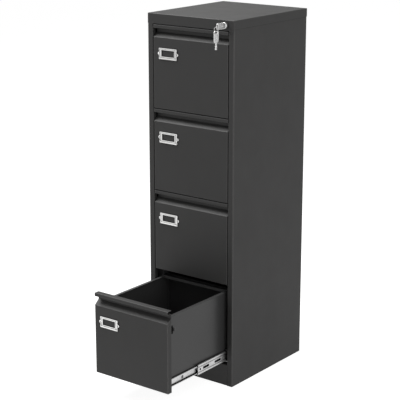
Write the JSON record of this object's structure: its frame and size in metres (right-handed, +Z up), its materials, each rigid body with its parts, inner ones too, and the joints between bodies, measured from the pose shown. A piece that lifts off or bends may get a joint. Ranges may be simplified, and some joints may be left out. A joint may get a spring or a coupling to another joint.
{
  "type": "four-drawer filing cabinet",
  "caption": "Tall narrow steel filing cabinet with full-width drawer grips, card frames, ball slides and a key lock whose bar holds the drawers shut.",
  "frame": {"origin": "middle of the base, on the floor", "axes": "+Z up, drawers open towards -Y, +X to the right as seen from the front"},
  "size_m": [0.38, 0.7926, 1.33],
  "materials": {
    "powder_coat": "satin charcoal powder coat",
    "inner_coat": "satin charcoal powder coat",
    "zinc": "bright zinc plate",
    "nickel": "polished nickel plate"
  },
  "bodies": {
    "case": {"top_cover": "powder_coat", "side_panel_left": "powder_coat", "side_panel_right": "powder_coat", "back_panel": "powder_coat", "base_panel": "inner_coat", "plinth": "powder_coat", "uprights": "inner_coat", "cross_rails": "inner_coat", "case_rails": "zinc", "lock_body": "nickel", "lock_nut": "zinc", "lock_bar_guides": "zinc"},
    "drawer_1": {"drawer_front_1": "powder_coat", "front_liner_1": "powder_coat", "tray_1": "powder_coat", "tray_back_1": "powder_coat", "file_rails_1": "inner_coat", "label_holder_1": "nickel", "lock_catch_1": "inner_coat", "drawer_rails_1": "zinc"},
    "slide_middle_1": {"middle_rails_1": "zinc", "ball_strips_1": "zinc"},
    "drawer_2": {"drawer_front_2": "powder_coat", "front_liner_2": "powder_coat", "tray_2": "powder_coat", "tray_back_2": "powder_coat", "file_rails_2": "inner_coat", "label_holder_2": "nickel", "lock_catch_2": "inner_coat", "drawer_rails_2": "zinc"},
    "slide_middle_2": {"middle_rails_2": "zinc", "ball_strips_2": "zinc"},
    "drawer_3": {"drawer_front_3": "powder_coat", "front_liner_3": "powder_coat", "tray_3": "powder_coat", "tray_back_3": "powder_coat", "file_rails_3": "inner_coat", "label_holder_3": "nickel", "lock_catch_3": "inner_coat", "drawer_rails_3": "zinc"},
    "slide_middle_3": {"middle_rails_3": "zinc", "ball_strips_3": "zinc"},
    "drawer_4": {"drawer_front_4": "powder_coat", "front_liner_4": "powder_coat", "tray_4": "powder_coat", "tray_back_4": "powder_coat", "file_rails_4": "inner_coat", "label_holder_4": "nickel", "lock_catch_4": "inner_coat", "drawer_rails_4": "zinc"},
    "slide_middle_4": {"middle_rails_4": "zinc", "ball_strips_4": "zinc"},
    "lock_cylinder": {"lock_plug": "nickel", "lock_cam": "zinc"},
    "lock_bar": {"lock_bar": "zinc", "lock_bar_fingers": "zinc"},
    "key": {"key": "nickel"},
    "key_ring": {"key_ring": "nickel"},
    "spare_key": {"spare_key": "nickel"}
  },
  "joints": [
    {"name": "drawer_1_slide", "type": "slide", "parent": "case", "child": "drawer_1", "axis": [0, -1, 0], "range_m": [0, 0.35], "deforming": ["key_ring", "spare_key"]},
    {"name": "drawer_2_slide", "type": "slide", "parent": "case", "child": "drawer_2", "axis": [0, -1, 0], "range_m": [0, 0.35]},
    {"name": "drawer_3_slide", "type": "slide", "parent": "case", "child": "drawer_3", "axis": [0, -1, 0], "range_m": [0, 0.35]},
    {"name": "drawer_4_slide", "type": "slide", "parent": "case", "child": "drawer_4", "axis": [0, -1, 0], "range_m": [-0.339, 0.011]},
    {"name": "slide_middle_1", "type": "slide", "parent": "case", "child": "slide_middle_1", "axis": [0, -1, 0], "range_m": [0, 0.175]},
    {"name": "slide_middle_2", "type": "slide", "parent": "case", "child": "slide_middle_2", "axis": [0, -1, 0], "range_m": [0, 0.175]},
    {"name": "slide_middle_3", "type": "slide", "parent": "case", "child": "slide_middle_3", "axis": [0, -1, 0], "range_m": [0, 0.175]},
    {"name": "slide_middle_4", "type": "slide", "parent": "case", "child": "slide_middle_4", "axis": [0, -1, 0], "range_m": [-0.1695, 0.0055]},
    {"name": "lock_bar_lift", "type": "slide", "parent": "case", "child": "lock_bar", "axis": [0, 0, 1], "range_m": [-0.01556, 0]},
    {"name": "lock_turn", "type": "hinge", "parent": "case", "child": "lock_cylinder", "pos_m": [0.1525, -0.225, 1.312], "axis": [0, 1, 0], "range_deg": [0, 90]},
    {"name": "key_withdraw", "type": "slide", "parent": "lock_cylinder", "child": "key", "axis": [0, -1, 0], "range_m": [0, 0.028]},
    {"name": "ring_hang", "type": "hinge", "parent": "key", "child": "key_ring", "pos_m": [0.1525, -0.2705, 1.3081], "axis": [0, 1, 0], "range_deg": [-90, 0]},
    {"name": "spare_key_swing", "type": "hinge", "parent": "key_ring", "child": "spare_key", "pos_m": [0.14684, -0.2705, 1.29444], "axis": [0.9903, -0.1392, 0], "range_deg": [-25, 25]}
  ],
  "couplings": [
    {"joint": "slide_middle_1", "follows": "drawer_1_slide", "ratio": 0.5},
    {"joint": "slide_middle_2", "follows": "drawer_2_slide", "ratio": 0.5},
    {"joint": "slide_middle_3", "follows": "drawer_3_slide", "ratio": 0.5},
    {"joint": "slide_middle_4", "follows": "drawer_4_slide", "ratio": 0.5},
    {"joint": "lock_turn", "follows": "lock_bar_lift", "rad_per_m": -100.97},
    {"joint": "ring_hang", "follows": "lock_bar_lift", "rad_per_m": 100.97}
  ]
}
